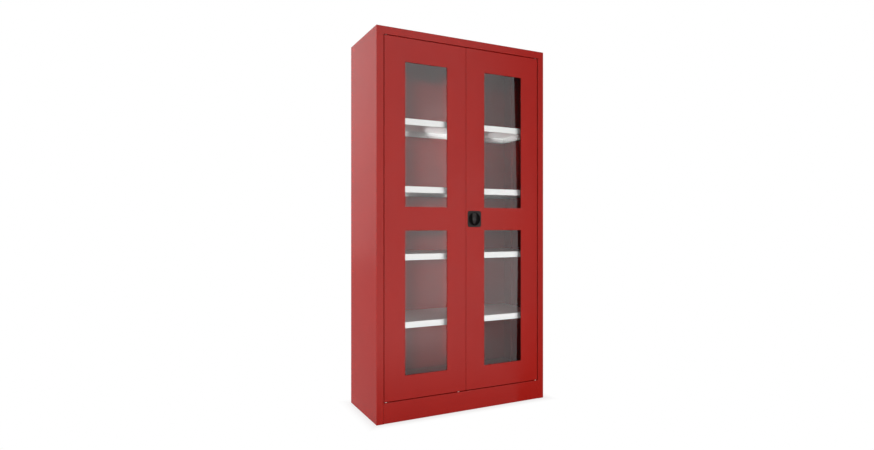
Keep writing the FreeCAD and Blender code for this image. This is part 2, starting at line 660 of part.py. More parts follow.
# Doors: folded pans with two glazed windows each, hung on the hinge pins.
latch_rise = f"sqrt({TONGUE_REACH}^2 + (tongue_width / 2)^2 - (handle_offset - {DOOR_INNER} - door_gauge)^2)"
WINDOWS = {
    "upper": (f"({MID_Z} + mid_rail / 2)", f"({MID_Z} + mid_rail / 2 + window_height)"),
    "lower": (f"({MID_Z} - mid_rail / 2 - window_height)", f"({MID_Z} - mid_rail / 2)"),
}
for side, sign in SIDES:
    window_x = span(sign, f"{DOOR_INNER} + door_stile", f"{DOOR_OUTER} - door_stile")

    def pan(inset):
        """Outline of the door moved inwards."""
        xs = span(sign, f"{DOOR_INNER} + {inset}", f"{DOOR_OUTER} - ({inset})")
        return rect(*xs, f"{DOOR_LOW} + {inset}", f"{DOOR_HIGH} - ({inset})")

    door = new_body(f"{side}_door_panel")
    extrude(door, "Pad", "XZ", SKIN, [pan("0")], "door_depth")
    corner_x = [at(sign, DOOR_INNER), at(sign, DOOR_OUTER)]
    round_along(door, "bend_radius", "y", [(x, z) for x in corner_x for z in (DOOR_LOW, DOOR_HIGH)])
    round_rim(door, "bend_radius", "y", SKIN)
    extrude(door, "Pocket", "XZ", SKIN_BACK, [pan("door_gauge")], "door_depth - door_gauge")
    lip_ring = [pan("door_gauge"), pan("(door_gauge + door_lip)")]
    extrude(door, "Pad", "XZ", f"{DOOR_BACK} - door_gauge", lip_ring, "door_gauge")
    openings = [rect(*window_x, *levels) for levels in WINDOWS.values()]
    if sign > 0:
        openings.append(("handle_offset", MID_Z, "dish_radius + dish_wall + stud_clearance"))
    extrude(door, "Pocket", "XZ", SKIN, openings, "door_gauge")
    pivot_hole = (at(sign, PIVOT_X), PIVOT_Y, f"{BUSH_RADIUS} + running_clearance")
    for low, rod_x in ((DOOR_LOW, "handle_offset - rod_offset"), (DOOR_HIGH, "handle_offset + rod_offset")):
        flange = low if low == DOOR_LOW else f"{DOOR_HIGH} - door_gauge"
        rod_hole = (rod_x, ROD_Y, "rod_radius + rod_hole_clearance")
        holes = [pivot_hole, rod_hole] if sign > 0 else [pivot_hole]
        extrude(door, "Pocket", "XY", flange, holes, "door_gauge")
    latch_slot = rect(
        f"{CAM_FRONT} - latch_clearance",
        f"{CAM_BACK} + latch_clearance",
        f"{MID_Z} - tongue_width / 2 - latch_clearance",
        f"{MID_Z} + {latch_rise} + latch_clearance",
    )
    extrude(door, "Pocket", "YZ", span(sign, DOOR_INNER, f"{DOOR_INNER} + door_gauge")[0], [latch_slot], "door_gauge")
    keep(f"{side}_door_panel", door)

    nuts = []
    for place_name, (low, high) in WINDOWS.items():
        label = f"{side}_{place_name}"

        def frame_box(grow, y_low, y_high):
            """Box round the window, larger than it by the same amount on all four sides."""
            xs = (f"{window_x[0]} - ({grow})", f"{window_x[1]} + ({grow})")
            return block(xs, (y_low, y_high), (f"{low} - ({grow})", f"{high} + ({grow})"))

        glass_front = f"({SKIN_BACK} + gasket_wall)"
        glass_back = f"({glass_front} + glass_thickness)"
        gasket_back = f"({glass_back} + gasket_wall)"
        gasket_edge = "(glass_overlap + gasket_wall)"
        keep(f"{label}_glass", frame_box("glass_overlap", glass_front, glass_back))
        hollow = [
            frame_box("glass_overlap", glass_front, glass_back),
            frame_box("gasket_reveal", SKIN_BACK, gasket_back),
        ]
        keep(f"{label}_gasket", cut(frame_box(gasket_edge, SKIN_BACK, gasket_back), hollow))

        cavity = f"({gasket_edge} + stud_clearance)"
        box_edge = f"({cavity} + retainer_gauge)"
        flange_edge = f"({box_edge} + retainer_flange)"
        retainer = fuse([
            frame_box(flange_edge, SKIN_BACK, f"{SKIN_BACK} + retainer_gauge"),
            frame_box(box_edge, SKIN_BACK, f"{gasket_back} + retainer_gauge"),
        ])
        tools = [
            frame_box(cavity, SKIN_BACK, gasket_back),
            frame_box("retainer_reveal", SKIN_BACK, f"{gasket_back} + retainer_gauge"),
        ]
        reach = f"({box_edge} + retainer_flange / 2)"
        middle_x, middle_z = f"({window_x[0]} + {window_x[1]}) / 2", f"({low} + {high}) / 2"
        spots = [(middle_x, f"{low} - {reach}"), (middle_x, f"{high} + {reach}")]
        for x in (f"{window_x[0]} - {reach}", f"{window_x[1]} + {reach}"):
            spots.append((x, f"{middle_z} - window_height / 3"))
            spots.append((x, f"{middle_z} + window_height / 3"))
        for x, z in spots:
            hole_radius = "stud_radius + stud_clearance"
            tools.append(post("y", x, SKIN_BACK, z, hole_radius, "retainer_gauge"))
            stud_length = "retainer_gauge + nut_height + stud_end"
            stud = post("y", x, SKIN_BACK, z, "stud_radius", stud_length)
            hexagon = doc.addObject("Part::Prism", "hexagon")
            hexagon.Polygon = 6
            hexagon.setExpression("Circumradius", link("nut_radius"))
            hexagon.setExpression("Height", link("nut_height"))
            hexagon.Placement.Rotation = FreeCAD.Rotation(FreeCAD.Vector(1, 0, 0), -90)
            place(hexagon, x, f"{SKIN_BACK} + retainer_gauge", z)
            nuts.append(fuse([stud, hexagon]))
        keep(f"{label}_retainer", cut(retainer, tools))
    keep(f"{side}_glazing_nuts", group(nuts))

    plates, bushes = [], []
    plate_x = span(sign, f"{PIVOT_X} - hinge_plate_length", f"{DOOR_OUTER} - door_gauge")
    pivot = (at(sign, PIVOT_X), PIVOT_Y)
    plate_lows = (f"{DOOR_LOW} + door_gauge", f"{DOOR_HIGH} - door_gauge - hinge_plate_gauge")
    for low, bush_low in zip(plate_lows, (DOOR_LOW, f"{DOOR_HIGH} - bush_length")):
        plate = block(plate_x, (SKIN_BACK, f"{DOOR_BACK} - door_gauge"), (low, f"{low} + hinge_plate_gauge"))
        hole = post("z", *pivot, low, f"{BUSH_RADIUS} + running_clearance", "hinge_plate_gauge")
        plates.append(cut(plate, [hole]))
        bush = post("z", *pivot, bush_low, BUSH_RADIUS, "bush_length")
        bore = post("z", *pivot, bush_low, BUSH_BORE, "bush_length")
        bushes.append(cut(bush, [bore]))
    keep(f"{side}_hinge_plates", group(plates))
    keep(f"{side}_hinge_bushes", group(bushes))

# Handle dish: square plastic plate with a round finger dish, clamped to the door skin by a ring.
dish = new_body("handle_dish")
plate_x = ("handle_offset - plate_width / 2", "handle_offset + plate_width / 2")
plate_z = (f"{MID_Z} - plate_height / 2", f"{MID_Z} + plate_height / 2")
extrude(dish, "Pad", "XZ", FRONT, [rect(*plate_x, *plate_z)], "door_inset")
round_along(dish, "plate_corner", "y", [(x, z) for x in plate_x for z in plate_z])
cup = ("handle_offset", MID_Z, "dish_radius + dish_wall")
extrude(dish, "Pad", "XZ", SKIN, [cup], f"{DISH_BACK} - {SKIN}")
extrude(dish, "Pocket", "XZ", FRONT, [("handle_offset", MID_Z, "dish_radius")], "dish_depth")
round_rim(dish, "plate_round", "y", FRONT)
bearing = ("handle_offset", MID_Z, "spindle_radius + running_clearance")
extrude(dish, "Pocket", "XZ", f"{FRONT} + dish_depth", [bearing], "dish_floor")
keep("handle_dish", dish)
ring = post("y", "handle_offset", SKIN_BACK, MID_Z, "ring_radius", "ring_height")
bore = post("y", "handle_offset", SKIN_BACK, MID_Z, "dish_radius + dish_wall + running_clearance", "ring_height")
keep("dish_ring", cut(ring, [bore]))

# Lever: tapered grip inside the dish, with the key cylinder let into its face.
lever = new_body("handle_lever")
half = "lever_width / 2"
outline = [
    (f"handle_offset - {half}", f"{MID_Z} + lever_rise"),
    (f"handle_offset + {half}", f"{MID_Z} + lever_rise"),
    (f"handle_offset + {half}", f"{MID_Z} - lever_waist"),
    ("handle_offset + lever_tip / 2", f"{MID_Z} - lever_drop"),
    ("handle_offset - lever_tip / 2", f"{MID_Z} - lever_drop"),
    (f"handle_offset - {half}", f"{MID_Z} - lever_waist"),
]
extrude(lever, "Pad", "XZ", LEVER_FRONT, [outline], f"{LEVER_BACK} - {LEVER_FRONT}")
round_along(lever, "lever_corner", "y", outline[:2])
round_along(lever, "lever_tip / 3", "y", outline[2:])
round_rim(lever, "lever_round", "y", LEVER_FRONT)
lock_front = f"({FRONT} + lock_inset)"
lock_back = f"({lock_front} + lock_length)"
seat = ("handle_offset", MID_Z, "lock_radius + running_clearance")
extrude(lever, "Pocket", "XZ", LEVER_FRONT, [seat], f"{lock_back} - {LEVER_FRONT}")
keep("handle_lever", lever)
lock = post("y", "handle_offset", lock_front, MID_Z, "lock_radius", "lock_length")
plug_bore = post("y", "handle_offset", lock_front, MID_Z, "plug_radius + running_clearance", "plug_length + rub_clearance")
keep("lock_cylinder", cut(lock, [plug_bore]))
plug = new_body("lock_plug")
extrude(plug, "Pad", "XZ", lock_front, [("handle_offset", MID_Z, "plug_radius")], "plug_length")
key_x = ("handle_offset - key_slot_width / 2", "handle_offset + key_slot_width / 2")
key_slot = rect(*key_x, f"{MID_Z} - key_slot_height / 2", f"{MID_Z} + key_slot_height / 2")
extrude(plug, "Pocket", "XZ", lock_front, [key_slot], "key_slot_depth")
keep("lock_plug", plug)

# Spindle: turns in the dish floor and carries the latch cam on its square end.
spindle = new_body("handle_spindle")
axle = ("handle_offset", MID_Z, "spindle_radius")
extrude(spindle, "Pad", "XZ", LEVER_BACK, [axle], f"{CAM_FRONT} - {LEVER_BACK}")
square_x = ("handle_offset - spindle_square / 2", "handle_offset + spindle_square / 2")
square = rect(*square_x, f"{MID_Z} - spindle_square / 2", f"{MID_Z} + spindle_square / 2")
extrude(spindle, "Pad", "XZ", CAM_FRONT, [square], "cam_gauge")
thread = ("handle_offset", MID_Z, "screw_radius + running_clearance")
extrude(spindle, "Pocket", "XZ", LEVER_BACK, [thread], f"{CAM_BACK} - {LEVER_BACK}")
keep("handle_spindle", spindle)
screw_shank = f"{CAM_BACK} - {LEVER_BACK} - rub_clearance"
shank = post("y", "handle_offset", f"{LEVER_BACK} + rub_clearance", MID_Z, "screw_radius", screw_shank)
head = post("y", "handle_offset", CAM_BACK, MID_Z, "screw_head_radius", "screw_head_height")
keep("spindle_screw", fuse([shank, head]))

# Latch cam: disc with two crank pins and a tongue that swings through the door edges.
cam = new_body("latch_cam")
extrude(cam, "Pad", "XZ", CAM_FRONT, [("handle_offset", MID_Z, "cam_radius")], "cam_gauge")
tongue_x = ("handle_offset - tongue_width / 2", "handle_offset + tongue_width / 2")
extrude(cam, "Pad", "XZ", CAM_FRONT, [rect(*tongue_x, MID_Z, f"{MID_Z} + {TONGUE_REACH}")], "cam_gauge")
extrude(cam, "Pocket", "XZ", CAM_FRONT, [square], "cam_gauge")
keep("latch_cam", cam)
pins = []
for sign in (1, -1):
    x, z = f"handle_offset + {sign} * {CRANK}", f"{MID_Z} - {sign} * {CRANK}"
    pin_length = "rod_foot_gap + rod_foot_gauge + rod_foot_gap / 2"
    pins.append(post("y", x, CAM_BACK, z, "crank_pin_radius", pin_length))
keep("crank_pins", group(pins))

# Lock rods: slotted flat feet on the crank pins, round rods that shoot into the lintel and the sill.
for name, sign in (("upper_rod", 1), ("lower_rod", -1)):
    near = f"{CRANK} - {SLOT_HALF}"
    far = f"crank_radius + {SLOT_HALF}"
    slot_x = [f"handle_offset + {d}" for d in span(sign, near, far)]
    foot_x = [f"handle_offset + {d}" for d in span(sign, f"{near} - rod_foot_wall", f"{far} + rod_foot_wall")]
    ends = [f"-({CRANK} + {SLOT_HALF} + rod_foot_wall)", "cam_radius + rod_foot_margin"]
    foot_z = [f"{MID_Z} + {d}" for d in span(sign, *ends)]
    slot_z = [f"{MID_Z} - {sign} * {CRANK} - {SLOT_HALF}", f"{MID_Z} - {sign} * {CRANK} + {SLOT_HALF}"]
    foot_y = (FOOT_FRONT, f"{FOOT_FRONT} + rod_foot_gauge")
    foot = cut(block(foot_x, foot_y, foot_z), [block(slot_x, foot_y, slot_z)])
    rod_x = f"handle_offset + {sign} * rod_offset"
    if sign > 0:
        rod_z = (foot_z[1], f"{DOOR_HIGH} - door_gauge / 2")
    else:
        rod_z = (f"{DOOR_LOW} + door_gauge / 2", foot_z[0])
    bar = post("z", rod_x, ROD_Y, rod_z[0], "rod_radius", f"({rod_z[1]}) - ({rod_z[0]})")
    keep(name, fuse([foot, bar]))

# Rod guides: plastic blocks on the door skin that the rods slide through.
for name, sign, edge in (("upper_rod_guides", 1, DOOR_HIGH), ("lower_rod_guides", -1, DOOR_LOW)):
    guides = []
    rod_x = f"(handle_offset + {sign} * rod_offset)"
    for mid in (f"({MID_Z} + {sign} * guide_near)", f"({edge} - {sign} * guide_far)"):
        xs = (f"{rod_x} - guide_width / 2", f"{rod_x} + guide_width / 2")
        low = f"{mid} - guide_height / 2"
        guide = block(xs, (SKIN_BACK, f"{ROD_Y} + rod_radius + rod_foot_gap"), (low, f"{low} + guide_height"))
        bore = post("z", rod_x, ROD_Y, low, "rod_radius + running_clearance", "guide_height")
        guides.append(cut(guide, [bore]))
    keep(name, group(guides))

doc.recompute()
for piece in doc.Objects:
    if {"Invalid", "Error"} & set(piece.State):
        raise RuntimeError(f"{piece.Label} did not recompute")
os.makedirs("parts", exist_ok=True)
for name, piece in nodes.items():
    if piece.Shape.isNull() or not piece.Shape.isValid():
        raise RuntimeError(f"{name} has no valid shape")
    piece.Shape.exportStep(f"parts/{name}.step")
print(f"{len(nodes)} sub-parts written")
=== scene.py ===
import math

import bmesh
import bpy
import numpy as np
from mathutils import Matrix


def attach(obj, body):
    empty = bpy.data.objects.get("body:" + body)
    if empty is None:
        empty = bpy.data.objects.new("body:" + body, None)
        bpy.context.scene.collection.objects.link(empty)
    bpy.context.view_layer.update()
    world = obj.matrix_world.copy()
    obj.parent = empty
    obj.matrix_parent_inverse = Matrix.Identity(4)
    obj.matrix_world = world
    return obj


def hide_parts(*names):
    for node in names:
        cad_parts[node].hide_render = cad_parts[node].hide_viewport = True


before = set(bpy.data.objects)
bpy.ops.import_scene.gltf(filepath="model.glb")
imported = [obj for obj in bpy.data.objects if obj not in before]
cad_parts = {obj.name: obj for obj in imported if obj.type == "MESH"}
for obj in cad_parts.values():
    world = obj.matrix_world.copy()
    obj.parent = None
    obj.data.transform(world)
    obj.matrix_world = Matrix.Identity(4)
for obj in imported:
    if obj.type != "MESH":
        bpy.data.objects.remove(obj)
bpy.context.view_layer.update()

# Carcass: side panels, top, back, floor and plinth of folded 1 mm sheet steel, spot-welded at their
# flanges and powder-coated red inside and out in one pass, uprights and door stop with them.


def shader(material, kind, at=(), **sockets):
    """Add a node to a material; each socket, by name or as I and its number, takes a value or
    another node's output."""
    made = material.node_tree.nodes.new(kind)
    for setting, value in at:
        setattr(made, setting, value)
    for name, value in sockets.items():
        socket = made.inputs[int(name[1:]) if name[1:].isdigit() else name.replace("_", " ")]
        if isinstance(value, bpy.types.NodeSocket):
            material.node_tree.links.new(value, socket)
        else:
            socket.default_value = value
    return made


def blank(name):
    """Material with only its output node, and its object coordinates."""
    made = bpy.data.materials.new(name)
    made.use_nodes = True
    made.node_tree.nodes.clear()
    out = shader(made, "ShaderNodeOutputMaterial")
    where = shader(made, "ShaderNodeTexCoord").outputs["Object"]
    return made, out, where


def graded(material, value, start, end, first, last, *at):
    """Value carried from the span start to end onto the span first to last, held beyond its ends."""
    span = dict(I1=start, I2=end, I3=first, I4=last)
    return shader(material, "ShaderNodeMapRange", at, Value=value, **span).outputs[0]


def cloud(material, where, scale, low, high):
    """Noise over the piece, scaled to run from low to high."""
    grain = dict(Scale=scale, Detail=3.0, Roughness=0.55)
    noise = shader(material, "ShaderNodeTexNoise", Vector=where, **grain)
    return graded(material, noise.outputs[0], 0.3, 0.7, low, high)


def blended(material, share, dark, light):
    """Colour that runs from dark to light as a share goes from 0 to 1."""
    kind = [("data_type", "RGBA")]
    return shader(material, "ShaderNodeMix", kind, Factor=share, I6=dark, I7=light).outputs[2]


def relief(material, heights, strength, depth):
    """Surface direction bent by a bump of heights, at most depth metres deep."""
    bump = dict(Strength=strength, Distance=depth, Height=heights.outputs[0])
    return shader(material, "ShaderNodeBump", **bump).outputs[0]


def powder_coat(name, deep, pale, shine, peel):
    """Baked powder paint: two close shades drift over it, with orange peel a few mm wide."""
    paint, out, where = blank(name)
    bumps = shader(paint, "ShaderNodeTexNoise", Vector=where, Scale=420.0, Detail=2.0, Roughness=0.5)
    surface = shader(
        paint, "ShaderNodeBsdfPrincipled", Normal=relief(paint, bumps, peel, 0.0004),
        Base_Color=blended(paint, cloud(paint, where, 2.3, 0.0, 1.0), deep, pale),
        Roughness=cloud(paint, where, 14.0, shine - 0.03, shine + 0.03), Specular_IOR_Level=0.35,
    )
    paint.node_tree.links.new(surface.outputs[0], out.inputs["Surface"])
    return paint


def coat(material, *names):
    """Give CAD nodes a finish."""
    for name in names:
        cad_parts[name].data.materials.clear()
        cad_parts[name].data.materials.append(material)


RED_DEEP, RED_PALE = (0.304, 0.0093, 0.0061, 1.0), (0.322, 0.0109, 0.0072, 1.0)
red_paint = powder_coat("red_paint", RED_DEEP, RED_PALE, shine=0.24, peel=0.06)
coat(red_paint, "left_side_panel", "right_side_panel", "top_panel", "plinth_panel", "floor_panel")
coat(red_paint, "back_panel", "left_front_upright", "left_rear_upright")
coat(red_paint, "right_front_upright", "right_rear_upright", "door_stop_bracket")

# Spot welds: the electrodes leave shallow rings, 8 mm across, along both rear flanges and along the
# top and foot of the back sheet. They are painted over with the carcass.


def skin(name, grids, closed, body, finish, *stands_for):
    """Surface over grids of points in mm: quads join the neighbours, round the first parameter and,
    if closed, round the second. It rides on a body, may take the place of CAD nodes, and its slot
    is its finish's name without the number that Blender adds."""
    points, faces, start = [], [], 0
    for grid in grids:
        count, rows = grid.shape[:2]
        index = start + np.arange(count * rows).reshape(count, rows)
        beside, above = np.roll(index, -1, axis=0), np.roll(index, -1, axis=1)
        quads = np.stack([index, beside, np.roll(beside, -1, axis=1), above], axis=-1)
        faces.append(quads[:, : rows if closed else rows - 1].reshape(-1, 4))
        points.append(grid.reshape(-1, 3) / 1000.0)
        start += count * rows
    mesh = bpy.data.meshes.new(name)
    mesh.from_pydata(np.concatenate(points), [], np.concatenate(faces).tolist())
    work = bmesh.new()
    work.from_mesh(mesh)
    bmesh.ops.remove_doubles(work, verts=work.verts, dist=2e-6)
    bmesh.ops.dissolve_degenerate(work, edges=work.edges, dist=1e-6)
    bmesh.ops.recalc_face_normals(work, faces=work.faces)
    work.to_mesh(mesh)
    work.free()
    mesh.shade_smooth()
    mesh.set_sharp_from_angle(angle=math.radians(40.0))
    mesh.materials.append(finish)
    piece = bpy.data.objects.new(name, mesh)
    bpy.context.scene.collection.objects.link(piece)
    if stands_for:
        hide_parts(*stands_for)
    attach(piece, body)
    return piece


def turned(profile, centre, axis, turns=48):
    """Profile of (radius, run) pairs spun round an axis through centre: run goes along x, y or z."""
    radius, run = np.asarray(profile, float).T
    turn = np.linspace(0.0, 2 * math.pi, turns, endpoint=False)[:, None]
    round_about = [radius * np.cos(turn), radius * np.sin(turn)]
    round_about.insert("xyz".index(axis), run + 0 * turn)
    return np.stack(round_about, axis=-1) + np.asarray(centre, float)


FLANGE_X, FLANGE_Y, SHEET_Y, WELD_TURNS = 489.0, 200.0, 199.0, 18
flange_heights, sheet_spacing = np.linspace(60.0, 1890.0, 25), np.linspace(-420.0, 420.0, 9)
weld = [(0, -0.05), (4.2, -0.05), (4.2, 0), (3.5, 0.3), (2.9, 0.3), (2.2, 0.05), (0, 0.05)]
places = [(x, FLANGE_Y, z) for x in (-FLANGE_X, FLANGE_X) for z in flange_heights]
places += [(x, SHEET_Y, z) for z in (133.0, 1939.0) for x in sheet_spacing]
welds = [turned(weld, place, "y", WELD_TURNS) for place in places]
skin("back_weld_marks", welds, False, "carcass", red_paint)

# Shelves: trays of 1 mm sheet steel with turned-down lips, powder-coated white. Each lies on four
# pressed zinc-plated clips that hook into the slots of the uprights.
WHITE_DEEP, WHITE_PALE = (0.89, 0.89, 0.885, 1.0), (0.92, 0.92, 0.915, 1.0)
white_paint = powder_coat("white_paint", WHITE_DEEP, WHITE_PALE, shine=0.38, peel=0.05)


def plating(name, dark, light, shine):
    """Zinc plate: grey metal with fine spangle and drawing lines along z."""
    metal, out, where = blank(name)
    spangle = shader(metal, "ShaderNodeTexVoronoi", Vector=where, Scale=620.0).outputs["Color"]
    drawn = shader(metal, "ShaderNodeMapping", Vector=where, Scale=(900.0, 900.0, 30.0)).outputs[0]
    lines = shader(metal, "ShaderNodeTexNoise", Vector=drawn, Scale=1.0, Detail=2.0)
    surface = shader(
        metal, "ShaderNodeBsdfPrincipled", Metallic=1.0, Normal=relief(metal, lines, 0.08, 0.0002),
        Base_Color=blended(metal, spangle, dark, light),
        Roughness=cloud(metal, where, 40.0, shine - 0.06, shine + 0.06),
    )
    metal.node_tree.links.new(surface.outputs[0], out.inputs["Surface"])
    return metal


ZINC_DARK, ZINC_LIGHT = (0.55, 0.555, 0.56, 1.0), (0.64, 0.64, 0.64, 1.0)
zinc_steel = plating("zinc_steel", ZINC_DARK, ZINC_LIGHT, shine=0.36)
for level in (1, 2, 3, 4):
    coat(white_paint, f"shelf_{level}")
    coat(zinc_steel, f"shelf_{level}_clips")

# Doors: each is one steel sheet, cut out for two windows and folded to a pan, painted in the red of
# the carcass. Zinc-plated hinge plates are fixed in its outer corners and hold the bushes.
for side in ("left", "right"):
    coat(red_paint, f"{side}_door_panel")
    coat(zinc_steel, f"{side}_hinge_plates")

# Panes: clear float glass, 4 mm thick with cut edges, two to a door. Each lies behind its window in
# a rubber channel, and can be taken out from the back.


def float_glass(name):
    """Clear float glass, a little green in its body, with faint haze; lamps shine through it."""
    glass, out, where = blank(name)
    haze = cloud(glass, where, 6.0, 0.0, 1.0)
    tint = blended(glass, haze, (0.990, 0.996, 0.993, 1.0), (0.996, 0.999, 0.997, 1.0))
    pane = shader(
        glass, "ShaderNodeBsdfPrincipled", Base_Color=tint, IOR=1.5, Roughness=0.0,
        Transmission_Weight=1.0,
    )
    clear = shader(glass, "ShaderNodeBsdfTransparent", Color=(0.995, 0.999, 0.997, 1.0))
    shadow = shader(glass, "ShaderNodeLightPath").outputs["Is Shadow Ray"]
    ways = dict(I0=shadow, I1=pane.outputs[0], I2=clear.outputs[0])
    both = shader(glass, "ShaderNodeMixShader", **ways)
    glass.node_tree.links.new(both.outputs[0], out.inputs["Surface"])
    return glass


clear_glass = float_glass("clear_glass")
for side in ("left", "right"):
    coat(clear_glass, f"{side}_upper_glass", f"{side}_lower_glass")

# Glazing: a black rubber channel grips each pane's edge, and a folded steel frame, painted red with
# the door, presses it against the door skin. Hexagon nuts on weld studs hold the frame.


def moulding(name, dark, light, shine, grain, depth, gloss=0.3):
    """Moulded plastic or rubber: fine grain in relief and a slight drift of tone."""
    plastic, out, where = blank(name)
    pits = shader(plastic, "ShaderNodeTexNoise", Vector=where, Scale=grain, Detail=2.0)
    surface = shader(
        plastic, "ShaderNodeBsdfPrincipled", Normal=relief(plastic, pits, depth, 0.0002),
        Base_Color=blended(plastic, cloud(plastic, where, 60.0, 0.0, 1.0), dark, light),
        Roughness=cloud(plastic, where, 90.0, shine - 0.05, shine + 0.05), Specular_IOR_Level=gloss,
    )
    plastic.node_tree.links.new(surface.outputs[0], out.inputs["Surface"])
    return plastic


SOOT, CHARCOAL = (0.012, 0.012, 0.012, 1.0), (0.022, 0.022, 0.022, 1.0)
black_rubber = moulding("black_rubber", SOOT, CHARCOAL, shine=0.7, grain=900.0, depth=0.15)


def softened(corners, reach, closed, steps=5):
    """Outline with soft corners: a parabola from `reach` mm before each one to as far after it."""
    corners = np.asarray(corners, float)
    back, on = np.roll(corners, 1, axis=0) - corners, np.roll(corners, -1, axis=0) - corners
    if not closed:
        back[0] = on[-1] = 0.0
    lengths = [np.linalg.norm(run, axis=1, keepdims=True) for run in (back, on)]
    take = np.broadcast_to(np.asarray(reach, float), len(corners))[:, None]
    ends = [
        corners + run * np.minimum(take, 0.49 * length) / np.maximum(length, 1e-9)
        for run, length in zip((back, on), lengths)
    ]
    if not closed:
        ends[0][[0, -1]] = ends[1][[0, -1]] = corners[[0, -1]]
    along = np.linspace(0.0, 1.0, steps)[None, :, None]
    curve = (1 - along) ** 2 * ends[0][:, None] + 2 * along * (1 - along) * corners[:, None]
    return (curve + along ** 2 * ends[1][:, None]).reshape(-1, 2)


def framed(profile, low, high):
    """Profile of (outset, y) pairs carried round a window from low to high: each pair gives the
    window's rectangle, larger by the outset on all four sides, at depth y."""
    outset, depth = np.asarray(profile).T
    across = [low[0] - outset, high[0] + outset, high[0] + outset, low[0] - outset]
    up = [low[1] - outset, low[1] - outset, high[1] + outset, high[1] + outset]
    return np.stack([np.stack([x, depth, z], axis=-1) for x, z in zip(across, up)])


channel = [(1, -197), (13.5, -197), (13.5, -190), (1, -190)]
channel += [(1, -191.5), (12, -191.5), (12, -195.5), (1, -195.5)]
channel = softened(channel, [0.9, 1.2, 1.2, 0.9, 0.5, 0.3, 0.3, 0.5], True)
folded = [(3, -190), (13.7, -190), (13.7, -197), (27.7, -197)]
folded += [(27.7, -196), (14.7, -196), (14.7, -189), (3, -189)]
folded = softened(folded, [0.3, 0.5, 0.5, 0.3, 0.3, 1.5, 1.5, 0.3], True)

NUT_SEAT, NUT_FACE, STUD_END = -196.0, -192.8, -191.3
NUT_CORNER, FACE_RADIUS, CHAMFER_SLOPE = 4.0, 3.3, 0.58
STUD_RADIUS, STUD_TIP, THREAD_DEPTH, THREAD_PITCH = 1.9, 1.5, 0.1, 0.5


def hexagon_nut(x, z, turns=48):
    """Nut on a threaded stud, along y: radius is a hexagon by angle, cut back by a cone at the outer
    face, then the stud, whose radius waves along its length as a thread does."""
    turn = np.linspace(0.0, 2 * math.pi, turns, endpoint=False)
    slant = np.mod(turn, math.pi / 3) - math.pi / 6
    hexagon = NUT_CORNER * math.cos(math.pi / 6) / np.cos(slant)
    cone = NUT_FACE - CHAMFER_SLOPE * (hexagon - FACE_RADIUS)
    thread = np.linspace(NUT_FACE, STUD_END - THREAD_PITCH / 2, 9)
    wave = STUD_RADIUS + THREAD_DEPTH * np.cos(2 * math.pi * thread / THREAD_PITCH)
    rings = [(0.0, NUT_SEAT), (hexagon, NUT_SEAT), (hexagon, cone), (FACE_RADIUS, NUT_FACE)]
    rings += [*zip(wave, thread), (STUD_TIP, STUD_END), (0.0, STUD_END)]
    radius = np.stack([np.broadcast_to(far, turns) for far, _ in rings], axis=1)
    depth = np.stack([np.broadcast_to(y, turns) for _, y in rings], axis=1)
    turn = turn[:, None]
    return np.stack([x + radius * np.cos(turn), depth, z + radius * np.sin(turn)], axis=-1)


WINDOW_INNER, WINDOW_OUTER, STUD_OUTSET = 111.775, 348.125, 21.2
WINDOW_ROWS = (("upper", 1066.45, 1788.45), ("lower", 225.05, 947.05))
for side, sign in (("left", -1), ("right", 1)):
    door, nuts = f"{side}_door", []
    near, far = sorted((sign * WINDOW_INNER, sign * WINDOW_OUTER))
    for row, low, high in WINDOW_ROWS:
        rubber = [framed(channel, (near, low), (far, high))]
        skin(f"{side}_{row}_channel", rubber, True, door, black_rubber, f"{side}_{row}_gasket")
        steel = [framed(folded, (near, low), (far, high))]
        skin(f"{side}_{row}_glazing_frame", steel, True, door, red_paint, f"{side}_{row}_retainer")
        middle, half_way, third = (near + far) / 2, (low + high) / 2, (high - low) / 3
        studs = [(middle, low - STUD_OUTSET), (middle, high + STUD_OUTSET)]
        for x in (near - STUD_OUTSET, far + STUD_OUTSET):
            studs += [(x, half_way - third), (x, half_way + third)]
        nuts += [hexagon_nut(*stud) for stud in studs]
    skin(f"{side}_stud_nuts", nuts, False, door, zinc_steel, f"{side}_glazing_nuts")

# Hinges: turned, zinc-plated pins pressed into sill and lintel carry the doors in nylon bushes. A
# nylon washer on each pin sets the door gap; the upper pair is painted darker grey, as shade under
# the lintel.
NYLON_DARK, NYLON_LIGHT = (0.78, 0.77, 0.74, 1.0), (0.84, 0.83, 0.80, 1.0)
# Darker copy of the nylon: painted shade for the washers under the lintel.
NYLON_SHADE_DARK, NYLON_SHADE_LIGHT = (0.13, 0.125, 0.12, 1.0), (0.17, 0.165, 0.16, 1.0)
white_nylon = moulding("white_nylon", NYLON_DARK, NYLON_LIGHT, shine=0.5, grain=700.0, depth=0.05)
shaded_nylon = moulding("shaded_nylon", NYLON_SHADE_DARK, NYLON_SHADE_LIGHT, shine=0.5, grain=700.0, depth=0.05)
PIVOT_X, PIVOT_Y, SILL, LINTEL = 449.5, -191.0, 102.5, 1911.0
WASHER_HEIGHT, BUSH_FEET = 2.7, (105.5, 1896.0)


def second_finish(piece, finish, chosen):
    """Give a piece another finish on the faces that a test on their centres, in mm, picks out."""
    centre = np.zeros(len(piece.data.polygons) * 3)
    piece.data.polygons.foreach_get("center", centre)
    picked = chosen(*(centre.reshape(-1, 3) * 1000.0).T)
    piece.data.materials.append(finish)
    piece.data.polygons.foreach_set("material_index", picked.astype(np.int32))


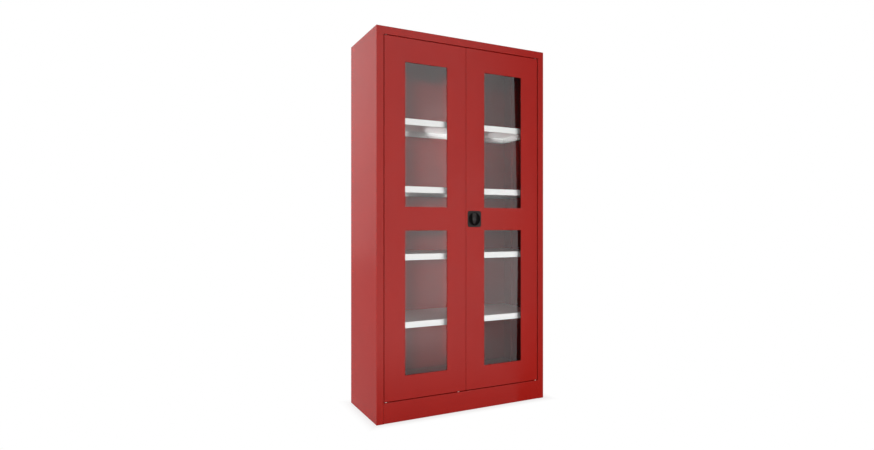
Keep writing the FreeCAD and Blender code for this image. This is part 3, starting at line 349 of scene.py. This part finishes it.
pin = [(0, -4), (5.5, -4), (5.5, -1), (3, -1), (3, 20), (0, 20)]
pin = softened(pin, [0, 0.7, 0.4, 0.3, 1.2, 0], False)
for row, seat, up in (("lower", SILL, 1), ("upper", LINTEL, -1)):
    pins = [turned(pin * (1, up), (sign * PIVOT_X, PIVOT_Y, seat), "z") for sign in (-1, 1)]
    skin(f"{row}_pivots", pins, False, "carcass", zinc_steel, f"{row}_hinge_pins")
washer = [(3.05, 0), (5, 0), (5, WASHER_HEIGHT), (3.05, WASHER_HEIGHT)]
washer = softened(washer, [0.3, 0.8, 0.8, 0.3], True)
washers = [
    turned(washer, (sign * PIVOT_X, PIVOT_Y, foot), "z")
    for sign in (-1, 1) for foot in (SILL, LINTEL - WASHER_HEIGHT)
]
gap_washers = skin("gap_washers", washers, True, "carcass", white_nylon, "hinge_washers")
# The upper washers take the darker copy, painted shade under the lintel.
second_finish(gap_washers, shaded_nylon, lambda x, y, z: z > LINTEL - 2 * WASHER_HEIGHT)
bush = softened([(3.05, 0), (5.05, 0), (5.05, 12), (3.05, 12)], [0.4, 0.5, 0.5, 0.4], True)
for side, sign in (("left", -1), ("right", 1)):
    bushes = [turned(bush, (sign * PIVOT_X, PIVOT_Y, foot), "z") for foot in BUSH_FEET]
    skin(
        f"{side}_pivot_bushes", bushes, True, f"{side}_door", white_nylon, f"{side}_hinge_bushes",
    )

# Door stops: a domed nylon glide carries the left door's free end, four rubber buffers pushed into
# the carcass cushion both doors, and plated keepers in lintel and sill take the lock rods.
GLIDE_X, GLIDE_RADIUS, GLIDE_RIM, GLIDE_RISE = -43.0, 5.5, 0.9, 1.8
BUFFER_X, BUFFER_Y, BUFFER_HEIGHTS = 25.0, -173.7, (115.5, 1898.0)
BUFFER_RADIUS, BUFFER_NOSE = 5.4, 2.6
dome = np.linspace(math.pi / 2, 0.0, 12)
crown = np.stack([np.sin(dome), np.cos(dome)], axis=-1)
glide = [(0, -3), (2.2, -3), (2.5, -2.7), (2.5, 0), (5.2, 0), (5.5, 0.3), (5.5, GLIDE_RIM)]
glide = np.vstack([glide, crown * (GLIDE_RADIUS, GLIDE_RISE) + (0, GLIDE_RIM)])
glide = [turned(glide, (GLIDE_X, PIVOT_Y, SILL), "z")]
skin("door_glide", glide, False, "carcass", white_nylon, "glide_button")
buffer = [(0, 7.7), (5.7, 7.7), (6, 7.4), (6, 6.2), (5.4, 5.8), (5.4, BUFFER_NOSE)]
buffer = np.vstack([buffer, crown * (BUFFER_RADIUS, -BUFFER_NOSE) + (0, BUFFER_NOSE)])
places = [(x, BUFFER_Y, z) for x in (-BUFFER_X, BUFFER_X) for z in BUFFER_HEIGHTS]
buffers = [turned(buffer, place, "y") for place in places]
skin("door_buffers", buffers, False, "carcass", black_rubber, "door_bumpers")
coat(zinc_steel, "upper_keeper", "lower_keeper")

# Handle plate: a black plastic moulding with a round finger dish, let into the right door from the
# front and clamped by a ring from behind. The dish is rougher than the plate, and its colour is
# painted darker as shade in the recess.
PLATE_DARK, PLATE_LIGHT = (0.0125, 0.0098, 0.0098, 1.0), (0.0185, 0.0145, 0.0145, 1.0)
# The dish's colours are painted shade: a much darker copy of the plate's black plastic.
DISH_SHADE_DARK, DISH_SHADE_LIGHT = (0.0035, 0.0030, 0.0030, 1.0), (0.006, 0.005, 0.005, 1.0)
black_plastic = moulding("black_plastic", PLATE_DARK, PLATE_LIGHT, 0.45, grain=1400.0, depth=0.15)
shaded_dish_plastic = moulding("shaded_dish_plastic", DISH_SHADE_DARK, DISH_SHADE_LIGHT, 0.8, 1400.0, depth=0.3, gloss=0.08)
HANDLE_X, HANDLE_Z, DISH_RADIUS, DISH_FLOOR = 50.6, 1006.75, 34.95, -189.9
HANDLE_AXIS = (HANDLE_X, 0.0, HANDLE_Z)


def morphed(outline, rows):
    """Moulding about the handle's axis, from rows of (radius or inset, y, share): share 0 is a
    circle of that radius, share 1 is the outline drawn in by that inset, between them a blend."""
    outline = np.asarray(outline, float)
    far = np.linalg.norm(outline, axis=1, keepdims=True)
    size, depth, share = np.asarray(rows, float).T
    radius = np.where(share > 0, share * (far - size), 0.0) + (1 - share) * size
    across, up = (radius * (outline / far)[:, part, None] for part in (0, 1))
    return np.stack([HANDLE_X + across, depth + 0 * radius, HANDLE_Z + up], axis=-1)


def divided(outline, step):
    """Outline with points no more than about `step` mm apart, spaced evenly along it."""
    ring = np.vstack([outline, outline[:1]])
    run = np.concatenate([[0.0], np.cumsum(np.linalg.norm(np.diff(ring, axis=0), axis=1))])
    even = np.linspace(0.0, run[-1], int(run[-1] / step), endpoint=False)
    return np.stack([np.interp(even, run, ring[:, part]) for part in (0, 1)], axis=-1)


def in_dish(x, y, z):
    """True inside the finger dish, where the moulding's colour is painted darker as shade."""
    return (np.hypot(x - HANDLE_X, z - HANDLE_Z) < DISH_RADIUS) & (y < DISH_FLOOR)


plate = divided(softened([(-41, -43), (41, -43), (41, 43), (-41, 43)], 15.0, True, 12), 2.0)
behind = [(6.05, -187.5, 0), (34, -187.5, 0), (36, -188, 0), (36.5, -189.5, 0), (36.5, -198, 0)]
rim = [(0, -198, 1), (0, -199.2, 1), (0.3, -199.7, 1), (0.9, -200, 1), (1.5, -200, 1)]
rim += [(36.6, -200, 0), (35.7, -199.9, 0)]
bowl = [(34.9, -199.2, 0), (34.5, -198, 0), (34.0, -192.5, 0), (33.3, -191, 0), (31.8, -190.2, 0)]
bowl += [(29.5, -190, 0), (18, -190, 0), (6.05, -190, 0)]
plate = [morphed(plate, behind + rim + bowl)]
handle_plate = skin("handle_plate", plate, True, "right_door", black_plastic, "handle_dish")
# The dish's faces get the darker copy, painted shade in the recess.
second_finish(handle_plate, shaded_dish_plastic, in_dish)
ring = [(36.55, -197), (43, -197), (43, -193), (36.55, -193)]
ring = [turned(softened(ring, [0.2, 0.4, 1.2, 0.8], True), HANDLE_AXIS, "y", 96)]
skin("clamp_ring", ring, True, "right_door", black_plastic, "dish_ring")

# Lever: a tapered black plastic grip that turns in the dish. The key cylinder, of black zinc-plated
# steel, is pressed into its face, and its plug has a keyway.
LOCK_DARK, LOCK_LIGHT = (0.05, 0.05, 0.05, 1.0), (0.09, 0.088, 0.086, 1.0)
lock_steel = plating("lock_steel", LOCK_DARK, LOCK_LIGHT, shine=0.34)
grip = [(-12.5, -6), (-3, -27), (3, -27), (12.5, -6)]
grip += [(12.5, 28.5), (7, 33.2), (-7, 33.2), (-12.5, 28.5)]
grip = divided(softened(grip, [5, 3, 3, 5, 3, 5, 5, 3], True, 9), 1.2)
flank = [(0, -190.5, 0), (2.2, -190.5, 1), (0.6, -191.6, 1), (0, -193, 1), (0, -196.5, 1)]
face = [(0.25, -198.2, 1), (0.9, -199.1, 1), (1.9, -199.5, 1), (2.3, -199.5, 1), (9.6, -199.5, 0)]
bore = [(9.2, -199.35, 0), (9.05, -199, 0), (9.05, -193.3, 0), (0, -193.3, 0)]
lever = [morphed(grip, flank + face + bore)]
skin("turn_lever", lever, False, "handle", black_plastic, "handle_lever")
barrel = [(0, -193.3), (9, -193.3), (9, -199.8), (6.05, -199.8), (6.05, -194.5), (0, -194.5)]
barrel = softened(barrel, [0, 0.3, 0.8, 0.35, 0.2, 0], False)
barrel = [turned(barrel, HANDLE_AXIS, "y", 64)]
skin("key_cylinder", barrel, False, "handle", lock_steel, "lock_cylinder")
keyway = divided(softened([(-0.9, -4), (0.9, -4), (0.9, 4), (-0.9, 4)], 0.3, True), 0.25)
plug = [(0, -194.8, 0), (6, -194.8, 0), (6, -199.3, 0), (5.85, -199.65, 0), (5.5, -199.8, 0)]
plug += [(-0.25, -199.8, 1), (0, -199.55, 1), (0, -196.3, 1), (0, -196.3, 0)]
skin("key_plug", [morphed(keyway, plug)], False, "lock_plug", lock_steel, "lock_plug")

# Lock works behind the dish: a plated spindle and cam, held by one screw, push two slotted rods up
# and down through plastic guides on the door skin.
SCREW_RADIUS, SCREW_RIM, SCREW_RISE, CRANK = 4.5, -183.0, 1.5, 16.0 / math.sqrt(2)
screw = [(0, -190.2), (1.7, -190.2), (2, -189.9), (2, -184), (4.2, -184), (4.5, -183.7)]
screw += [(SCREW_RADIUS, SCREW_RIM)]
screw = np.vstack([screw, crown * (SCREW_RADIUS, SCREW_RISE) + (0, SCREW_RIM)])
screw = [turned(screw, HANDLE_AXIS, "y")]
skin("cam_screw", screw, False, "handle", zinc_steel, "spindle_screw")
stub = softened([(0, -184), (2.5, -184), (2.5, -177.5), (0, -177.5)], [0, 0, 0.9, 0], False)
places = [(HANDLE_X + sign * CRANK, 0, HANDLE_Z - sign * CRANK) for sign in (1, -1)]
stubs = [turned(stub, place, "y") for place in places]
skin("crank_stubs", stubs, False, "handle", zinc_steel, "crank_pins")
coat(black_plastic, "upper_rod_guides", "lower_rod_guides")
coat(zinc_steel, "handle_spindle", "latch_cam", "upper_rod", "lower_rod")

# Studio floor: a wide pale matt sheet. Seen directly it is white; in gloss or through glass it shows
# a painted reflection that falls off towards the doors and beside them, with a painted dark sector
# to the right front. Near the plinth it shows the cabinet's shadow.
FLOOR_HALF, HALF_WIDTH, HALF_DEPTH = 14.0, 0.5, 0.2
FLOOR_GREY, WHITE, BLACK = (0.75, 0.75, 0.75, 1.0), (1.0, 1.0, 1.0, 1.0), (0.0, 0.0, 0.0, 1.0)
SHADOW_FADE, FOOT_LINE = (-0.03, 0.07, 0.7, 1.0), -0.002
AHEAD_FALL, ASIDE_FALL, ASIDE_END = (-2.0, -0.3, 1.40, 0.36), (0.6, 1.4, 1.0, 0.5), -2.6
# Painted reflection: a dark sector right of a slanted line, seen only in gloss and through glass.
DARK_SECTOR_SLANT, DARK_SECTOR_EDGE, DARK_SECTOR_LEVEL = 0.694, 0.185, 0.03


def sums(material, operation, first, second=0.0):
    """One step of arithmetic on numbers or sockets."""
    step = [("operation", operation)]
    return shader(material, "ShaderNodeMath", step, I0=first, I1=second).outputs[0]


def in_sight(material):
    """1 for rays that show the surroundings: to the camera, in gloss or through glass, before any
    matt bounce."""
    path = shader(material, "ShaderNodeLightPath").outputs
    shown = sums(material, "MAXIMUM", path["Is Camera Ray"], path["Is Glossy Ray"])
    shown = sums(material, "MAXIMUM", shown, path["Is Transmission Ray"])
    return sums(material, "MULTIPLY", shown, sums(material, "LESS_THAN", path["Diffuse Depth"], 0.5))


pale_floor, out, where = blank("pale_floor")
across, along = shader(pale_floor, "ShaderNodeSeparateXYZ", Vector=where).outputs[:2]
past_side = sums(pale_floor, "SUBTRACT", sums(pale_floor, "ABSOLUTE", across), HALF_WIDTH)
past_front = sums(pale_floor, "SUBTRACT", sums(pale_floor, "ABSOLUTE", along), HALF_DEPTH)
past = sums(pale_floor, "MAXIMUM", past_side, past_front)
fade = graded(pale_floor, past, *SHADOW_FADE, ("interpolation_type", "SMOOTHSTEP"))
outside = sums(pale_floor, "MULTIPLY", fade, sums(pale_floor, "GREATER_THAN", past, FOOT_LINE))
shown = sums(pale_floor, "MULTIPLY", in_sight(pale_floor), outside)
aside = graded(pale_floor, across, *ASIDE_FALL)
aside = sums(pale_floor, "MAXIMUM", aside, sums(pale_floor, "LESS_THAN", along, ASIDE_END))
# Painted reflection: the dark sector to the right front, shown only in gloss and through glass.
dark_sector = sums(pale_floor, "ADD", across, sums(pale_floor, "MULTIPLY", along, DARK_SECTOR_SLANT))
dark_sector = sums(pale_floor, "MAXIMUM", sums(pale_floor, "LESS_THAN", dark_sector, DARK_SECTOR_EDGE), DARK_SECTOR_LEVEL)
dark_sector = sums(pale_floor, "MAXIMUM", dark_sector, sums(pale_floor, "GREATER_THAN", along, -HALF_DEPTH))
ahead = graded(pale_floor, along, *AHEAD_FALL)
ahead = sums(pale_floor, "MULTIPLY", ahead, sums(pale_floor, "MULTIPLY", aside, dark_sector))
direct = shader(pale_floor, "ShaderNodeLightPath").outputs["Is Camera Ray"]
level = shader(pale_floor, "ShaderNodeMix", Factor=direct, I2=ahead, I3=1.0)
matt = shader(pale_floor, "ShaderNodeBsdfDiffuse", Color=FLOOR_GREY)
white = shader(pale_floor, "ShaderNodeEmission", Color=WHITE, Strength=level.outputs[0])
both = shader(
    pale_floor, "ShaderNodeMixShader", I0=shown, I1=matt.outputs[0], I2=white.outputs[0],
)
pale_floor.node_tree.links.new(both.outputs[0], out.inputs["Surface"])

corners = np.array([(-1, -1, 0), (1, -1, 0), (1, 1, 0), (-1, 1, 0)]) * FLOOR_HALF
floor_mesh = bpy.data.meshes.new("studio_floor")
floor_mesh.from_pydata(corners, [], [(0, 1, 2, 3)])
floor_mesh.materials.append(pale_floor)
studio_floor = bpy.data.objects.new("studio_floor", floor_mesh)
bpy.context.scene.collection.objects.link(studio_floor)

# Surroundings: white to the camera. In gloss and glass they show a painted reflection, pale and
# brightest ahead of the doors, with a painted dark sector to the right; matt surfaces get only a
# dim, even light.
DIM_LEVEL, DARK_SECTOR_START, DARK_SECTOR_END, BEARING_LEAN = 0.12, 0.5964, 0.68, 0.0224
# Painted reflection: levels of the surroundings in gloss and glass, by bearing round the cabinet.
REFLECTION_RAMP = ((0.0, 0.9), (0.35, 0.9), (0.45, 1.35), (0.5794, 1.42), (0.5962, 0.95), (0.7, 0.9), (1, 0.9))
BEHIND_RISE = (0.0, 0.25, 0.68, 1.0)
world = bpy.data.worlds.new("white_surroundings")
world.use_nodes = True
bpy.context.scene.world = world
world.node_tree.nodes.clear()
out = shader(world, "ShaderNodeOutputWorld")
ray = shader(world, "ShaderNodeTexCoord").outputs["Generated"]
ray_x, ray_y, ray_z = shader(world, "ShaderNodeSeparateXYZ", Vector=ray).outputs
bearing = sums(world, "ARCTAN2", ray_x, sums(world, "MULTIPLY", ray_y, -1.0))
bearing = sums(world, "ADD", bearing, sums(world, "MULTIPLY", ray_z, BEARING_LEAN))
bearing = sums(world, "ADD", sums(world, "DIVIDE", bearing, 2 * math.pi), 0.5)
reflection_ramp = shader(world, "ShaderNodeValToRGB", I0=bearing)
while len(reflection_ramp.color_ramp.elements) < len(REFLECTION_RAMP):
    reflection_ramp.color_ramp.elements.new(0.5)
for element, (position, level) in zip(reflection_ramp.color_ramp.elements, REFLECTION_RAMP):
    element.position = position
    element.color = (level, level, level, 1.0)
# Painted reflection: a dark sector between two bearings, seen only in gloss and through glass.
before_dark_sector = sums(world, "LESS_THAN", bearing, DARK_SECTOR_START)
lit = sums(world, "MAXIMUM", before_dark_sector, sums(world, "GREATER_THAN", bearing, DARK_SECTOR_END))
rise = graded(world, ray_z, *BEHIND_RISE)
rise = sums(world, "MAXIMUM", rise, sums(world, "LESS_THAN", ray_y, 0.0))
rise = sums(world, "MULTIPLY", rise, sums(world, "MAXIMUM", lit, DARK_SECTOR_LEVEL))
shown = shader(world, "ShaderNodeBackground", Color=WHITE, Strength=DIM_LEVEL)
dark = shader(world, "ShaderNodeBackground", Color=BLACK, Strength=0.0)
bright = shader(world, "ShaderNodeBackground", Color=reflection_ramp.outputs[0], Strength=rise)
plain = shader(world, "ShaderNodeBackground", Color=WHITE, Strength=1.0)
path = shader(world, "ShaderNodeLightPath").outputs
for share, over in (
    (path["Is Transmission Ray"], dark),
    (in_sight(world), bright),
    (path["Is Camera Ray"], plain),
):
    shown = shader(world, "ShaderNodeMixShader", I0=share, I1=shown.outputs[0], I2=over.outputs[0])
world.node_tree.links.new(shown.outputs[0], out.inputs["Surface"])

# Lamps: a small key lamp ahead of the doors with a fill on either side, one low fill for the plinth,
# soft lamps for sides, back and top, and two narrow beams on the underside of the top shelf.
DOOR_MIDDLE, SHELF_UNDERSIDE = (0.0, -0.2, 0.95), 1.513


def hung(light, place, aim):
    """Hang a lamp at a place and turn it to shine towards its aim; only its light is seen."""
    run = np.subtract(aim, place)
    made = bpy.data.objects.new(light.name, light)
    made.location = place
    tilt, heading = math.acos(-run[2] / np.linalg.norm(run)), math.atan2(-run[0], run[1])
    made.rotation_euler = (tilt, 0.0, heading)
    made.visible_camera = made.visible_glossy = made.visible_transmission = False
    bpy.context.scene.collection.objects.link(made)


def lamp(name, place, aim, size, level):
    """Oval soft lamp that gives a white sheet facing it at the aim point the stated brightness."""
    light = bpy.data.lights.new(name, "AREA")
    light.shape, light.size, light.size_y = "ELLIPSE", size[0], size[1]
    light.energy = level * math.pi ** 2 * math.dist(aim, place) ** 2
    hung(light, place, aim)


def beam(name, place, aim, width, level):
    """Spot lamp whose round beam is the stated width at the aim point, soft at its rim."""
    light = bpy.data.lights.new(name, "SPOT")
    far = math.dist(aim, place)
    light.energy = level * 4 * math.pi ** 2 * far ** 2
    light.spot_size, light.spot_blend = 2 * math.atan(width / 2 / far), 0.12
    light.shadow_soft_size = 0.01
    hung(light, place, aim)


lamp("key_lamp", (0.9, -7.2, 0.70), DOOR_MIDDLE, (0.7, 0.7), 0.395)
lamp("left_fill", (-3.4, -6.4, 1.5), DOOR_MIDDLE, (0.8, 0.8), 0.112)
lamp("right_fill", (3.9, -6.4, 1.5), DOOR_MIDDLE, (1.6, 0.8), 0.274)
lamp("left_lamp", (-4.5, 1.4, 0.9), (-0.5, 0.0, 0.9), (2.0, 1.6), 1.09)
lamp("right_lamp", (4.5, 1.4, 0.9), (0.5, 0.0, 0.9), (2.0, 1.6), 0.525)
lamp("back_lamp", (0.8, 4.6, 1.4), (0.0, 0.2, 1.0), (2.0, 2.0), 0.575)
beam("left_shelf_beam", (-0.479, -0.506, 0.995), (0.0, 0.09, SHELF_UNDERSIDE), 0.19, 0.905)
beam("right_shelf_beam", (-0.061, -0.569, 0.966), (0.395, 0.062, SHELF_UNDERSIDE), 0.175, 0.715)
lamp("low_fill", (-0.1, -1.5, 0.08), (0.0, -0.2, 0.06), (1.8, 0.1), 0.145)
lamp("top_lamp", (0.0, 0.9, 4.6), (0.0, 0.1, 1.95), (1.2, 1.2), 0.81)

# Camera: level at half the cabinet's height, to the left of the doors. Its focal length is given in
# pixels of the image, which is 874 wide.
IMAGE_WIDTH, FOCAL_PIXELS, SENSOR_WIDTH = 874.0, 562.5, 36.0
camera = bpy.data.cameras.new("camera")
camera.sensor_width, camera.lens = SENSOR_WIDTH, SENSOR_WIDTH * FOCAL_PIXELS / IMAGE_WIDTH
eye = bpy.data.objects.new("camera", camera)
eye.location = (-1.460, -2.776, 0.975)
eye.rotation_euler = (math.radians(90.0), 0.0, math.radians(-26.57))
bpy.context.scene.collection.objects.link(eye)
bpy.context.scene.camera = eye
bpy.context.scene.view_settings.view_transform = "Standard"
